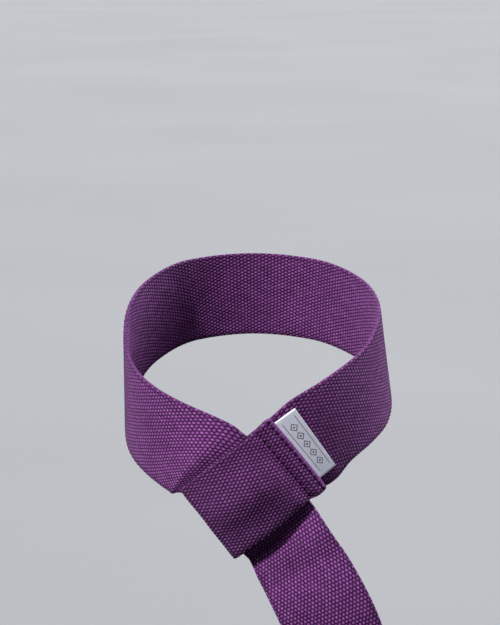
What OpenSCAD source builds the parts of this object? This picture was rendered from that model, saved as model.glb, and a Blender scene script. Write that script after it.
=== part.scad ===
// Stretching strap of woven cotton webbing with a sewn loop at each end.
// One end is noosed round an upright cylinder (the seat), the standing part
// hangs from the mouth of the sewn loop, and the spare length is folded into
// a hank with a tie round it. Millimetres, +Z up, the origin on the axis of
// the seat. Angles round the seat run from the front (-Y) towards +X.

/* [Webbing] */
// Width of the webbing
strap_w = 38; // [34:1:42]
// Thickness of the webbing
strap_t = 1.8; // [1.4:0.1:2.0]

/* [Noose] */
// Diameter of the cylinder that the noose grips
seat_d = 110; // [104:1:116]

/* [Sewn loop] */
// Length of a sewn loop from its hem to its fold
loop_len = 50; // [48:1:54]
// Depth of the hem, from its edge to the inner row of stitches
hem_depth = 9; // [8:0.5:10]
// How far the loop's top layer stands clear of the webbing in it
mouth_gap = 2.2; // [1.8:0.1:3]
// Length of one stitch and the space after it
stitch_pitch = 3; // [2.5:0.25:4]
// Thickness of the sewing thread
thread_d = 0.7; // [0.4:0.1:0.9]

/* [Label] */
// Length of the woven label along the hem
label_l = 30; // [24:1:32]
// How much of the label shows beyond the hem
label_w = 9.5; // [7:0.5:12]
// Thickness of the folded label
label_t = 0.5; // [0.4:0.1:0.6]

/* [Hank] */
// Length of each folded run
run_len = 150; // [130:5:160]
// Number of runs folded on each other (odd)
runs = 7; // [5:2:9]
// Space left between neighbouring runs
run_gap = 0.5; // [0.3:0.1:0.8]
// Height of the tie round the hank
tie_h = 9; // [6:1:14]
// Thickness of the tie
tie_t = 1.2; // [0.8:0.1:2]

/* [Hidden] */

purple = [0.37, 0.16, 0.38];
thread_purple = [0.30, 0.11, 0.31];
white = [0.86, 0.87, 0.91];

R = seat_d / 2;
t = strap_t;
hw = strap_w / 2;
r_in = R + t + 0.3;                 // inside of the webbing that runs in the loop
r_top = R + 2 * t + mouth_gap;      // inside of the loop's top layer

// Middle line of the band round the seat: [angle, height].
band_route = [[4, -36], [12, -29.5], [20, -23.3], [30, -16.5], [45, -10], [60, -4], [75, 3],
              [90, 9.5], [105, 15], [130, 21.5], [160, 25], [180, 26], [200, 25], [230, 18],
              [250, 11], [270, 1], [285, -7.5], [300, -15], [315, -20.5], [328, -24.5],
              [340, -28], [350, -31.5], [358, -36]];

// Middle line of the standing part: [x, z], from the mouth to the hank.
tail_route = [[10.9, -60.9], [19.3, -72], [27, -84.5], [33, -98], [38.5, -113],
              [42, -128], [43.5, -142]];
tail_y = -59.1;                     // middle of the tail's thickness
hank_x = 43.5;
hank_top = -142;
hank_bottom = hank_top - run_len;
run_step = t + run_gap;
hank_front = tail_y - (runs - 1) * run_step;   // middle of the front run

// The sewn loop, developed on the seat: s runs round the front, z up.
loop_mid = [-0.3, -39.4];
loop_a = 38.4;                      // how far the hem-to-fold line dips to the left
u_dir = [-cos(loop_a), -sin(loop_a)];          // from the hem to the fold
v_dir = [sin(loop_a), -cos(loop_a)];           // along the hem, the way the strap runs
hem_mid = loop_mid - u_dir * loop_len / 2;
function dev(u, v) = hem_mid + u_dir * u + v_dir * v;
function deg(s, r) = s / r * 180 / PI;
function on(s, r) = r * sin(deg(s, r));        // x of a developed point
slot_mid = hem_depth + 0.9 + hw;                // middle of the slot, from the hem

// Straight-line steps along an edge of a developed outline.
function edge(a, b, n = 8) = [for (i = [0 : n - 1]) a + (b - a) * i / n];
function ring(c) = [for (i = [0 : len(c) - 1]) each edge(c[i], c[(i + 1) % len(c)])];
function flat_xz(pts, r) = [for (p = pts) [on(p[0], r), p[1]]];

// Everything in front of the axis whose outline, seen from the front, is pts.
module from_front(pts) {
    rotate([90, 0, 0]) linear_extrude(height = R + 40) polygon(pts);
}

// Everything behind the axis with that outline.
module from_back(pts) {
    rotate([90, 0, 0]) translate([0, 0, -R - 40]) linear_extrude(height = R + 40) polygon(pts);
}

module tube(r0, r1, z0 = -90, z1 = 60) {
    translate([0, 0, z0]) difference() {
        cylinder(h = z1 - z0, r = r1, $fn = 180);
        translate([0, 0, -1]) cylinder(h = z1 - z0 + 2, r = r0, $fn = 180);
    }
}

// A developed rectangle from (u0, v0) to (u1, v1), wrapped at radius r0 to r1.
module patch(u0, u1, v0, v1, r0, r1) {
    intersection() {
        tube(r0, r1);
        from_front(flat_xz(ring([dev(u0, v0), dev(u1, v0), dev(u1, v1), dev(u0, v1)]), (r0 + r1) / 2));
    }
}

// Height of the band's upper or lower edge at route point i.
function slope(i) = let (a = band_route[max(i - 1, 0)], b = band_route[min(i + 1, len(band_route) - 1)])
    (b[1] - a[1]) / ((b[0] - a[0]) * PI / 180 * (R + t / 2));
function half_h(i) = hw * sqrt(1 + slope(i) * slope(i));
function at_edge(i, side) = band_route[i][1] + side * half_h(i);

// Outline of the band seen from the front, between two angles, in steps of
// about 5 degrees. At the sides it runs straight on past the band's thickness.
edge_table = [for (side = [1, -1]) [for (i = [0 : len(band_route) - 1]) [band_route[i][0], at_edge(i, side)]]];
function at_angle(a, side) = lookup(a, edge_table[side == 1 ? 0 : 1]);
function reversed(q) = [for (k = [1 : len(q)]) q[len(q) - k]];
function past(a, side) = abs(cos(a)) < 0.01 ? [[(sin(a) > 0 ? 1 : -1) * (R + t + 2), at_angle(a, side)]] : [];
function band_edge(lo, hi, side) = let (n = round((hi - lo) / 5)) concat(past(lo, side),
    [for (k = [0 : n]) let (a = lo + (hi - lo) * k / n) [(R + t / 2) * sin(a), at_angle(a, side)]], past(hi, side));
function band_outline(lo, hi) = concat(band_edge(lo, hi, 1), reversed(band_edge(lo, hi, -1)));

// Everything right of the hem line, and everything left of the line on
// which the band goes into the loop, v millimetres along the hem.
module right_of_hem() {
    from_front(concat(flat_xz([for (k = [-30 : 4 : 30]) dev(-0.35, k)], R + t / 2),
                      [[200, dev(0, 30)[1]], [200, 100], [on(dev(0, -30)[0], R + t / 2), 100]]));
}

module left_of_loop(v) {
    from_front(concat(flat_xz([for (k = [-20 : 5 : 75]) dev(k, v)], R + t / 2),
                      [[-200, dev(75, v)[1]], [-200, 100], [on(dev(-20, v)[0], R + t / 2), 100]]));
}

module noose_band() {
    color(purple) union() {
        // right front, from the hem to the side
        intersection() {
            tube(R, R + t);
            from_front(band_outline(4, 90));
            right_of_hem();
        }
        // round the back
        intersection() {
            tube(R, R + t);
            from_back(band_outline(90, 270));
        }
        // left front, down to the loop
        intersection() {
            tube(R, R + t);
            from_front(band_outline(270, 358));
            left_of_loop(-hw - 0.8);
        }
        // step up over the loop's lower layer
        patch(slot_mid - hw + 5, slot_mid + hw - 2, -hw - 4, -hw - 0.6, R + 0.6, r_in + t);
        // the stretch that lies in the loop
        patch(slot_mid - hw, slot_mid + hw, -hw - 1.5, hw - 0.3, r_in, r_in + t);
    }
}

module sewn_loop() {
    color(purple) union() {
        // lower layer, which is the band running on to the fold
        patch(0, loop_len, -hw, hw, R, R + t);
        // turned-under hem and the layers sewn together
        patch(0, hem_depth, -hw, hw, R, r_top + t);
        // the fold
        patch(loop_len - t, loop_len, -hw, hw, R, r_top + t);
        // top layer
        patch(0, loop_len, -hw, hw, r_top, r_top + t);
    }
}

// One row of stitches on the wrapped hem, u millimetres in from its edge.
module loop_row(u) {
    r = r_top + t + thread_d / 2 + 0.03;
    n = floor((strap_w - 4) / stitch_pitch);
    for (i = [0 : n]) {
        p = dev(u, (i - n / 2) * stitch_pitch);
        a = deg(p[0], r_top + t);
        rotate([0, 0, a]) translate([0, -r, p[1]])
            rotate([0, 90 + 90 - loop_a, 0])
                cylinder(h = stitch_pitch * 0.72, d = thread_d, center = true, $fn = 24);
    }
}

module loop_seam_outer_thread() { color(thread_purple) loop_row(1.8); }

module loop_seam_inner_thread() { color(thread_purple) loop_row(8); }

module label() {
    color(white) patch(-label_w, -1.6, -label_l / 2 - 1.6, label_l / 2 - 1.6, R + t + 0.5, R + t + 0.5 + label_t);
}

module running_webbing() {
    color(purple) patch(slot_mid - hw, slot_mid + hw, hw + 0.3, hw + 4, r_in, r_in + t);
}

// Unit heading of the tail at route point i, and its two edges.
function head(i) = let (a = tail_route[max(i - 1, 0)], b = tail_route[min(i + 1, len(tail_route) - 1)], d = b - a)
    i == 0 ? v_dir : (i == len(tail_route) - 1 ? [0, -1] : d / norm(d));
function tail_edge(i, side) = tail_route[i] + side * hw * [-head(i)[1], head(i)[0]];

module tail_webbing() {
    n = len(tail_route);
    color(purple)
        translate([0, tail_y + t / 2, 0]) rotate([90, 0, 0]) linear_extrude(height = t)
            polygon(concat([for (i = [0 : n - 1]) tail_edge(i, 1)],
                           reversed([for (i = [0 : n - 1]) tail_edge(i, -1)])));
}

// Rounded rectangle from its corners, with round corners of radius r.
module rounded(x0, y0, x1, y1, r) {
    translate([x0 + r, y0]) square([x1 - x0 - 2 * r, y1 - y0]);
    translate([x0, y0 + r]) square([x1 - x0, y1 - y0 - 2 * r]);
    for (x = [x0 + r, x1 - r], y = [y0 + r, y1 - r]) translate([x, y]) circle(r = r, $fn = 48);
}

// A profile drawn as [y, z], extruded along X and centred on the hank.
module across(w) {
    translate([hank_x - w / 2, 0, 0]) rotate([90, 0, 90]) linear_extrude(height = w) children();
}

module strap_hank() {
    color(purple) across(strap_w) union() {
        rounded(hank_front - t / 2, hank_bottom, tail_y + t / 2, hank_top - 1, 2 * t);
        translate([tail_y - t / 2, hank_top - 12]) square([t, 12]);
        translate([hank_front - t / 2, hank_bottom - 3]) square([t, 12]);
    }
}

// Half the opening of the far loop, k from 0 at the fold to 1 at the hem.
eye_gap = 4;
function eye(k) = eye_gap * pow(sin(90 * (1 - k)), 0.8);
eye_top = hank_bottom - 3;
eye_seam = eye_top - hem_depth;
eye_low = eye_top - loop_len;
eye_y = hank_front - t / 2 - 0.4;   // middle of the eye's thickness
function eye_side(d, side) = [for (i = [0 : 14]) let (k = 1 - i / 14)
    [eye_y + side * (eye(k) + 0.4 + d), eye_low + t + eye_gap + (eye_seam - eye_low - t - eye_gap) * k]];
function eye_end(d) = [for (i = [1 : 11]) let (a = 180 * i / 12)
    [eye_y + (eye_gap + 0.4 + d) * cos(a), eye_low + t + eye_gap - (eye_gap + d) * sin(a)]];
function eye_loop(d) = concat(eye_side(d, 1), eye_end(d), reversed(eye_side(d, -1)));

module far_loop() {
    color(purple) across(strap_w) difference() {
        polygon(concat([[eye_y + 0.4 + t, eye_top]], eye_loop(t), [[eye_y - 0.4 - t, eye_top]]));
        polygon(eye_loop(0));
    }
}

// One row of stitches across the far hem, u millimetres below its edge.
module far_row(u) {
    n = floor((strap_w - 4) / stitch_pitch);
    for (i = [0 : n])
        translate([hank_x + (i - n / 2) * stitch_pitch, eye_y - t - 0.4 - thread_d / 2 - 0.03, eye_top - u])
            rotate([0, 90, 0]) cylinder(h = stitch_pitch * 0.72, d = thread_d, center = true, $fn = 24);
}

module far_seam_outer_thread() { color(thread_purple) far_row(1.8); }

module far_seam_inner_thread() { color(thread_purple) far_row(8); }

module storage_tie() {
    y0 = hank_front - t / 2 - 0.5;
    y1 = tail_y + t / 2 + 0.5;
    x0 = hank_x - hw - 0.5;
    x1 = hank_x + hw + 0.5;
    color(thread_purple)
        translate([0, 0, hank_top - run_len / 2 - tie_h / 2]) linear_extrude(height = tie_h)
            difference() {
                rounded(x0 - tie_t, y0 - tie_t, x1 + tie_t, y1 + tie_t, 2.2);
                rounded(x0, y0, x1, y1, 1);
            }
}

noose_band();
sewn_loop();
loop_seam_outer_thread();
loop_seam_inner_thread();
label();
running_webbing();
tail_webbing();
strap_hank();
far_loop();
far_seam_outer_thread();
far_seam_inner_thread();
storage_tie();
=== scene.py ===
"""Looks for the stretching strap: woven cotton webbing, sewn loops, label and tie."""
import math

import bpy
import numpy as np
from mathutils import Matrix, Vector


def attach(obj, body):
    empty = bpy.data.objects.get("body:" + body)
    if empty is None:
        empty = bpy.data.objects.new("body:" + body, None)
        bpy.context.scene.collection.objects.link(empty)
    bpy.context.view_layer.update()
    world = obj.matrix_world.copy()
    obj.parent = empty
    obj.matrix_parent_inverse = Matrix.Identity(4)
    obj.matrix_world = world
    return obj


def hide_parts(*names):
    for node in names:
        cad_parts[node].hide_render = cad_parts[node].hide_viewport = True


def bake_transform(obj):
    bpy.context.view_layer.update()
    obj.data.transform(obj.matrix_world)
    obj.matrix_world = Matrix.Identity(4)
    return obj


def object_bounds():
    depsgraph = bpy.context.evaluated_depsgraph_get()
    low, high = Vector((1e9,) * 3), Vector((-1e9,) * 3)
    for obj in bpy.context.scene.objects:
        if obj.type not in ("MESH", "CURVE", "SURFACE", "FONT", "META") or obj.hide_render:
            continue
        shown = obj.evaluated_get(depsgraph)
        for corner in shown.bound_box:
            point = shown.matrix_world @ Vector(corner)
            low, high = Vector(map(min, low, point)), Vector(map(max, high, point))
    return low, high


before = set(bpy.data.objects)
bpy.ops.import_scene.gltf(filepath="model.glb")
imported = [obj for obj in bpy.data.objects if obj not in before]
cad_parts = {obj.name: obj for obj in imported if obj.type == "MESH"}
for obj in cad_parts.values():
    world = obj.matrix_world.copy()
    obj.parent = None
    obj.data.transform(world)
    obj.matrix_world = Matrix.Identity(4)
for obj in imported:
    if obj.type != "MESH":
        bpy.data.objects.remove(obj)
cad_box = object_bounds()

MM = 0.001
HW, T = 19.0, 1.8          # half width and thickness of the webbing, mm
R = 55.0                   # radius of the seat that the noose grips, mm
ENDS = 49                  # warp ends across the webbing
PITCH = 2 * HW / ENDS      # one warp end
FLOAT = 3.16               # length of one weave repeat along the webbing

# ---------------------------------------------------------------- camera
scene = bpy.context.scene
cam_data = bpy.data.cameras.new("camera")
cam_data.sensor_width = 36.0
cam_data.lens = 2161.2 / 625 * 36.0
cam = bpy.data.objects.new("camera", cam_data)
scene.collection.objects.link(cam)
elev, roll = math.radians(9.859), math.radians(-0.573)
back = Vector((0, -math.cos(elev), math.sin(elev)))
right0, up0 = Vector((1, 0, 0)), Vector((0, math.sin(elev), math.cos(elev)))
right = right0 * math.cos(roll) + up0 * math.sin(roll)
up = -right0 * math.sin(roll) + up0 * math.cos(roll)
cam.matrix_world = Matrix(
    [
        (right.x, up.x, back.x, -0.00084),
        (right.y, up.y, back.y, back.y * 0.954),
        (right.z, up.z, back.z, 0.026 + back.z * 0.954),
        (0, 0, 0, 1),
    ]
)
cam_data.clip_start, cam_data.clip_end = 0.01, 200
scene.camera = cam

# ---------------------------------------------------------------- geometry kit


def smooth(x):
    x = np.clip(x, 0, 1)
    return x * x * (3 - 2 * x)


def wrapped(phi, z, r):
    """A point round the seat: phi in radians from the front towards +X."""
    return np.stack([r * np.sin(phi), -r * np.cos(phi), z], -1)


LOOP_A = math.radians(38.4)
U = np.array([-math.cos(LOOP_A), -math.sin(LOOP_A)])
V = np.array([math.sin(LOOP_A), -math.cos(LOOP_A)])
HEM_MID = np.array([-0.3, -39.4]) - U * 25


def dev(u, v):
    """Developed point of the sewn loop: u in from the hem, v along it."""
    s = HEM_MID[0] + U[0] * u + V[0] * v
    z = HEM_MID[1] + U[1] * u + V[1] * v
    return s, z


def on_loop(u, v, r):
    s, z = dev(u, v)
    return wrapped(s / r, z, r)


def pchip(t, x, q):
    """Shape-keeping cubic through x at t, read at q. x may have columns."""
    t, x, q = np.asarray(t, float), np.asarray(x, float), np.asarray(q, float)
    flat = x.reshape(len(t), -1)
    h = np.diff(t)[:, None]
    d = np.diff(flat, axis=0) / h
    m = np.zeros_like(flat)
    a, b = d[:-1], d[1:]
    w1, w2 = 2 * h[1:] + h[:-1], h[1:] + 2 * h[:-1]
    same = a * b > 0
    with np.errstate(divide="ignore", invalid="ignore"):
        inner = (w1 + w2) / (w1 / a + w2 / b)
    m[1:-1] = np.where(same, inner, 0)
    m[0], m[-1] = d[0], d[-1]
    i = np.clip(np.searchsorted(t, q, side="right") - 1, 0, len(t) - 2)
    hh = h[i]
    s = ((q - t[i])[:, None]) / hh
    y = (
        flat[i] * (1 + 2 * s) * (1 - s) ** 2
        + m[i] * hh * s * (1 - s) ** 2
        + flat[i + 1] * s * s * (3 - 2 * s)
        + m[i + 1] * hh * s * s * (s - 1)
    )
    return y.reshape((len(q),) + x.shape[1:])


def unit(a):
    return a / np.maximum(np.linalg.norm(a, axis=-1, keepdims=True), 1e-12)


# Column positions across the webbing: one per warp end, and a rounded edge.
COLS = np.concatenate([[-HW], -HW + PITCH * (np.arange(ENDS) + 0.5), [HW]])
HALF = np.concatenate([[0.52], [T / 2 - 0.04], [T / 2 - 0.10], np.full(ENDS - 4, T / 2), [T / 2 - 0.10], [T / 2 - 0.04], [0.52]])
SIGN = np.concatenate([[0], np.where(np.arange(ENDS) % 2 == 0, 1.0, -1.0), [0]])


def webbing(name, dense, rows_at, relief_a, relief_b, start=0.0, dent=None):
    """A closed strip of webbing. dense is (n, columns, 3) of mid-surface points,
    rows_at gives row positions along it from its length, relief_* how high the
    weave stands on each face per row (0 to 1), dent what is taken off face A."""
    mid = dense[:, len(COLS) // 2]
    along = np.concatenate([[0], np.cumsum(np.linalg.norm(np.diff(mid, axis=0), axis=1))])
    rows = rows_at(along[-1])
    P = np.empty((len(rows), len(COLS), 3))
    for j in range(len(COLS)):
        for k in range(3):
            P[:, j, k] = np.interp(rows, along, dense[:, j, k])
    dl = np.gradient(P, rows, axis=0)
    dw = np.gradient(P, COLS, axis=1)
    N = unit(np.cross(dl, dw))
    ell = rows + start
    # the weft turns back at the selvedges, which leaves small bumps there
    bump = 0.10 * np.cos(2 * math.pi * ell / (FLOAT / 2))
    wdir = unit(dw)
    P[:, 0] -= wdir[:, 0] * bump[:, None]
    P[:, -1] += wdir[:, -1] * bump[:, None]
    weave = SIGN[None] * np.cos(2 * math.pi * ell / FLOAT)[:, None]
    # slow unevenness of hand-beaten cotton
    grow = (
        0.05 * np.sin(ell / 7.3)[:, None] * np.cos(COLS / 5.1)[None]
        + 0.04 * np.sin(ell / 3.1 + 1.3)[:, None] * np.sin(COLS / 2.7 + 0.6)[None]
    )
    ra, rb = relief_a(rows)[:, None], relief_b(rows)[:, None]
    top = HALF[None] + 0.16 * weave * ra + grow * (HALF[None] > 0.5)
    low = HALF[None] - 0.16 * weave * rb + 0 * grow
    if dent is not None:
        top = top - dent(rows[:, None], COLS[None])
    A = P + N * top[..., None]
    B = P - N * low[..., None]
    n, c = len(rows), len(COLS)
    verts = np.concatenate([A.reshape(-1, 3), B.reshape(-1, 3)]) * MM
    ia = np.arange(n * c).reshape(n, c)
    ib = ia + n * c
    quads = [
        np.stack([ia[:-1, :-1], ia[1:, :-1], ia[1:, 1:], ia[:-1, 1:]], -1).reshape(-1, 4),
        np.stack([ib[:-1, :-1], ib[:-1, 1:], ib[1:, 1:], ib[1:, :-1]], -1).reshape(-1, 4),
        np.stack([ia[:-1, 0], ib[:-1, 0], ib[1:, 0], ia[1:, 0]], -1),
        np.stack([ia[:-1, -1], ia[1:, -1], ib[1:, -1], ib[:-1, -1]], -1),
        np.stack([ia[0, :-1], ia[0, 1:], ib[0, 1:], ib[0, :-1]], -1),
        np.stack([ia[-1, :-1], ib[-1, :-1], ib[-1, 1:], ia[-1, 1:]], -1),
    ]
    faces = np.concatenate(quads)
    uv = np.stack(np.broadcast_arrays(ell[:, None], COLS[None]), -1).reshape(-1, 2) * MM
    uv = np.concatenate([uv, uv])
    ob = mesh_object(name, verts, faces, uv)
    return ob, rows, along[-1]


def mesh_object(name, verts, faces, uv=None):
    me = bpy.data.meshes.new(name)
    faces = np.asarray(faces, np.int32)
    k = faces.shape[1]
    me.vertices.add(len(verts))
    me.vertices.foreach_set("co", np.asarray(verts, np.float32).ravel())
    me.loops.add(faces.size)
    me.loops.foreach_set("vertex_index", faces.ravel())
    me.polygons.add(len(faces))
    me.polygons.foreach_set("loop_start", np.arange(0, faces.size, k, dtype=np.int32))
    me.polygons.foreach_set("loop_total", np.full(len(faces), k, np.int32))
    me.update(calc_edges=True)
    if uv is not None:
        layer = me.uv_layers.new(name="cloth")
        layer.data.foreach_set("uv", np.asarray(uv, np.float32)[faces.ravel()].ravel())
    me.polygons.foreach_set("use_smooth", np.ones(len(faces), bool))
    me.validate()
    ob = bpy.data.objects.new(name, me)
    scene.collection.objects.link(ob)
    return ob


def steps(*spans):
    """Row positions: spans are (to, step); the last to is a share of the length
    when it is None."""

    def at(length):
        out, here = [0.0], 0.0
        for to, step in spans:
            to = length if to is None else min(to, length)
            n = max(1, int(round((to - here) / step)))
            out += list(here + (to - here) * np.arange(1, n + 1) / n)
            here = to
            if here >= length:
                break
        return np.array(out)

    return at


# ---------------------------------------------------------------- the noose
# The webbing runs: turned-under flap, hem, top layer of the sewn loop, fold,
# lower layer, right side, round the back, left side, and in between the layers.
R_UNDER = R + T / 2            # webbing that lies on the seat
R_SLOT = R + 1.5 * T + 0.10    # webbing that runs in the loop
R_FLAP = R_UNDER + T + 0.10
R_HEM = R_FLAP + T + 0.05


def top_r(u, v):
    """Radius of the top layer's middle: sewn down at the hem, then over the
    webbing inside it, and standing a little open at the mouth."""
    body = R_HEM + 0.30 * np.exp(-(((u - 4.9) / 1.7) ** 2)) + 0.20 * np.exp(-(((u - 0.9) / 0.7) ** 2))
    rise = smooth((u - 8.8) / 4.6) * 0.90
    inside = 2.9 * np.exp(-(((v - 0.5) / 9.5) ** 2)) * smooth((u - 9.5) / 13.0) * (1 - 0.6 * smooth((u - 37) / 11))
    gape = 1.0 * smooth((v - 6.0) / 12.0) * smooth((u - 12.0) / 24.0) * (1 - 0.25 * smooth((u - 42) / 8))
    lip = -0.25 * smooth((v - 15.0) / 4.0) * smooth((u - 10.0) / 6.0)
    return body + rise + inside + gape + lip


def loop_part():
    """Dense mid-surface of the flap, hem, top layer, fold and lower layer."""
    out = []
    v = COLS
    one = np.ones_like(v)
    # the sewn hem is pressed a little wider than the webbing beside it
    ears = lambda u: v * (1 + 0.030 * smooth((10.0 - u) / 7.0)) + 1.7 * smooth(v / 19.0) * smooth((11.0 - u) / 8.0)
    for u in np.linspace(8.6, 1.75, 12):                       # flap
        out.append(on_loop(u * one, ears(u) - 0.25, R_FLAP * one))
    hem = R_HEM + 0.10
    for a in np.linspace(0, math.pi, 15)[1:-1]:                # hem fold
        rr = (hem - R_FLAP) / 2
        out.append(on_loop((1.75 - 0.95 * math.sin(a)) * one, ears(1.75), (R_FLAP + rr - rr * math.cos(a)) * one))
    for u in np.linspace(1.75, 46.4, 140):                     # top layer
        # the fold sits a little askew, so the layer is longer at its upper edge
        uu = u + 1.5 * smooth(-v / 19.0) * smooth((u - 20) / 26.4)
        vv = ears(u) - 0.7 * smooth(v / 19.0) * smooth((u - 28) / 18.0)
        out.append(on_loop(uu, vv, top_r(uu, vv)))
    askew = 1.5 * smooth(-v / 19.0)
    v = v - 0.7 * smooth(v / 19.0)
    r1 = top_r(46.4 + askew, v)
    rad = (r1 - R_UNDER) / 2
    for a in np.linspace(0, math.pi, 26)[1:-1]:                # fold
        reach = 49.3 - 46.4
        out.append(on_loop(46.4 + askew + reach * math.sin(a) ** 0.9, v, R_UNDER + rad + rad * math.cos(a)))
    v = COLS
    for u in np.linspace(46.4, 3.0, 60):                       # lower layer
        out.append(on_loop(u + askew * smooth((u - 20) / 26.4), v, R_UNDER * one))
    return np.array(out)


def edge_pair(u, r0, r1):
    """Band station on the loop's lower layer at u, as two edge points."""
    s0, z0 = dev(u, -HW)
    s1, z1 = dev(u, HW)
    return [math.degrees(s0 / r0), z0, r0, math.degrees(s1 / r1), z1, r1, 0.0]


def slot_pair(v, u0=9.9, u1=47.5, r=R_SLOT, bow=0.0):
    s0, z0 = dev(u0, v)
    s1, z1 = dev(u1, v)
    return [math.degrees(s0 / r) + 360, z0, r, math.degrees(s1 / r) + 360, z1, r, bow]


# Upper edge (angle, height, radius), lower edge, and how far the middle bows out.
BAND = [
    edge_pair(3.0, R_UNDER, R_UNDER),
    [7.7, -9.0, 55.9, 31.9, -40.6, 56.3, 0.0],
    [16.3, -2.3, 55.9, 36.9, -38.4, 57.5, 0.2],
    [29.4, 3.8, 55.9, 45.2, -31.2, 58.7, 0.3],
    [43.0, 9.4, 55.9, 57.4, -25.9, 59.9, 0.2],
    [59.2, 15.2, 55.9, 73.0, -20.4, 60.9, 0.0],
    [76.0, 22.8, 55.9, 88.5, -14.4, 60.9, 0.0],
    [95.0, 29.6, 55.9, 105.0, -8.0, 60.2, 0.0],
    [120.0, 37.0, 55.9, 126.0, -1.0, 58.6, 0.0],
    [150.0, 42.6, 55.9, 152.5, 4.6, 57.0, 0.0],
    [180.0, 44.3, 55.9, 180.0, 6.3, 56.2, 0.0],
    [210.0, 42.8, 55.9, 206.5, 4.8, 55.9, 0.0],
    [238.0, 36.0, 55.9, 231.0, -1.6, 55.9, 0.0],
    [262.0, 25.2, 55.9, 252.0, -11.6, 55.9, 0.0],
    [281.0, 12.0, 55.9, 269.5, -24.6, 56.0, 0.0],
    [298.0, 4.9, 55.9, 286.5, -32.4, 56.1, 0.1],
    [314.0, 0.0, 55.9, 301.5, -37.4, 56.1, 0.2],
    [326.5, -3.6, 55.9, 312.5, -40.6, 56.3, 0.5],
    [337.5, -6.8, 56.0, 319.5, -42.2, 56.9, 1.2],
    [346.0, -9.6, 56.6, 323.6, -43.0, 57.6, 2.0],
    [352.0, -12.2, 57.6, 325.6, -42.9, 58.3, 1.6],
    [356.4, -15.6, 58.4, 327.2, -42.5, 58.6, 0.5],
    slot_pair(-14.5, 10.9, 47.8, R_SLOT + 0.1, 0.1),
    slot_pair(-8.0),
    slot_pair(4.0),
]


def band_part():
    st = np.array(BAND, float)
    a = wrapped(np.radians(st[:, 0]), st[:, 1], st[:, 2])
    b = wrapped(np.radians(st[:, 3]), st[:, 4], st[:, 5])
    chord = np.linalg.norm(np.diff((a + b) / 2, axis=0), axis=1)
    t = np.concatenate([[0], np.cumsum(chord)])
    q = np.linspace(0, t[-1], 900)
    d = pchip(t, st, q)
    k = (COLS[None] + HW) / (2 * HW)
    phi = np.radians(d[:, 0:1] * (1 - k) + d[:, 3:4] * k)
    z = d[:, 1:2] * (1 - k) + d[:, 4:5] * k
    r = d[:, 2:3] * (1 - k) + d[:, 5:6] * k + d[:, 6:7] * (1 - (2 * k - 1) ** 2)
    # where the webbing turns down into the loop its inside edge has slack,
    # which stands up in one soft swell, and the outside stays taut
    left = t[-1] - q[:, None]
    inside = smooth((COLS[None] + 2.0) / 18.0)
    swell = np.exp(-(((left - 37.0) / 8.0) ** 2))
    r = r + 0.9 * swell * inside
    tuck = np.exp(-(((left - 29.5 - 0.10 * COLS[None]) / 2.3) ** 2))
    r = r + 0.55 * tuck * smooth((COLS[None] + 12) / 14.0)
    z = z - 0.35 * tuck * smooth((COLS[None] - 14) / 5.0)
    return wrapped(phi, z, r)


loop_d, band_d = loop_part(), band_part()
noose_dense = np.concatenate([loop_d, band_d])
mid = noose_dense[:, len(COLS) // 2]
seg = np.concatenate([[0], np.cumsum(np.linalg.norm(np.diff(mid, axis=0), axis=1))])
L_HEM0, L_HEM1 = seg[11], seg[25]          # the hem fold
L_TOP1 = seg[25 + 139]                     # end of the top layer
L_FOLD1 = seg[25 + 139 + 26]
L_LOOP = seg[len(loop_d) - 1]
TOP_OF = lambda ell: (ell - L_HEM1) / (L_TOP1 - L_HEM1) * (46.4 - 1.75) + 1.75

STITCH = 3.0
ROW_U = (2.0, 7.9)


def hem_dent(ell, w):
    """What the two rows of stitches pull out of the top layer's face."""
    u = TOP_OF(ell)
    out = np.zeros(np.broadcast(ell, w).shape)
    for k, u0 in enumerate(ROW_U):
        line = np.exp(-(((u - u0) / 0.48) ** 2))
        hole = np.exp(-(((((w + 0.9 * k + STITCH / 2) % STITCH) - STITCH / 2) / 0.50) ** 2))
        out = out + line * (0.26 + 0.50 * hole)
    return out * (np.abs(w) < 18.2) * (ell < L_TOP1)


def noose_rows(length):
    return steps((L_HEM0, 1.0), (L_HEM1, 0.28), (L_HEM1 + 10, 0.395), (L_TOP1, 0.79), (L_FOLD1, 0.45),
                 (L_LOOP, 1.58), (None, 0.79))(length)


strap, rows, noose_len = webbing(
    "strap_noose",
    noose_dense,
    noose_rows,
    lambda r: (r > L_HEM0) * 1.0,
    lambda r: (r > L_FOLD1) * 1.0,
    dent=hem_dent,
)


# ---------------------------------------------------------------- the hanging part
def slot_xyz(v, u0, u1, r, bow=0.0, lift=0.0):
    s0, z0 = dev(u0, v)
    s1, z1 = dev(u1, v)
    p0, p1 = wrapped(s0 / r, z0, r + lift), wrapped(s1 / r, z1, r)
    return [*p0, *p1, bow]


# Right edge (x, y, z), left edge, outward bow of the middle.
TAIL = [
    slot_xyz(5.2, 9.9, 47.3, R_SLOT),
    slot_xyz(12.0, 9.9, 46.9, R_SLOT),
    slot_xyz(18.0, 9.9, 46.0, R_SLOT, 0.1, 1.1),
    [26.6, -52.9, -49.8, -2.2, -57.0, -70.4, 0.7],
    [34.0, -55.2, -60.6, 1.9, -58.6, -78.6, 1.0],
    [40.2, -56.9, -69.4, 6.0, -59.9, -86.4, 0.7],
    [46.4, -58.6, -80.2, 10.4, -60.6, -95.4, 0.4],
    [51.4, -60.2, -91.0, 14.5, -61.8, -105.2, 0.3],
    [55.8, -61.2, -104.0, 18.0, -62.4, -116.8, 0.2],
    [59.3, -61.0, -120.0, 21.3, -61.6, -130.0, 0.1],
    [61.6, -59.9, -136.0, 23.6, -60.1, -140.5, 0.0],
    [62.5, -59.2, -150.0, 24.5, -59.2, -150.0, 0.0],
]
HX, TAIL_Y, STEP = 43.5, -59.1, 2.3
tops = {1: -145.4, 3: -146.6, 5: -145.8}
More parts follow.
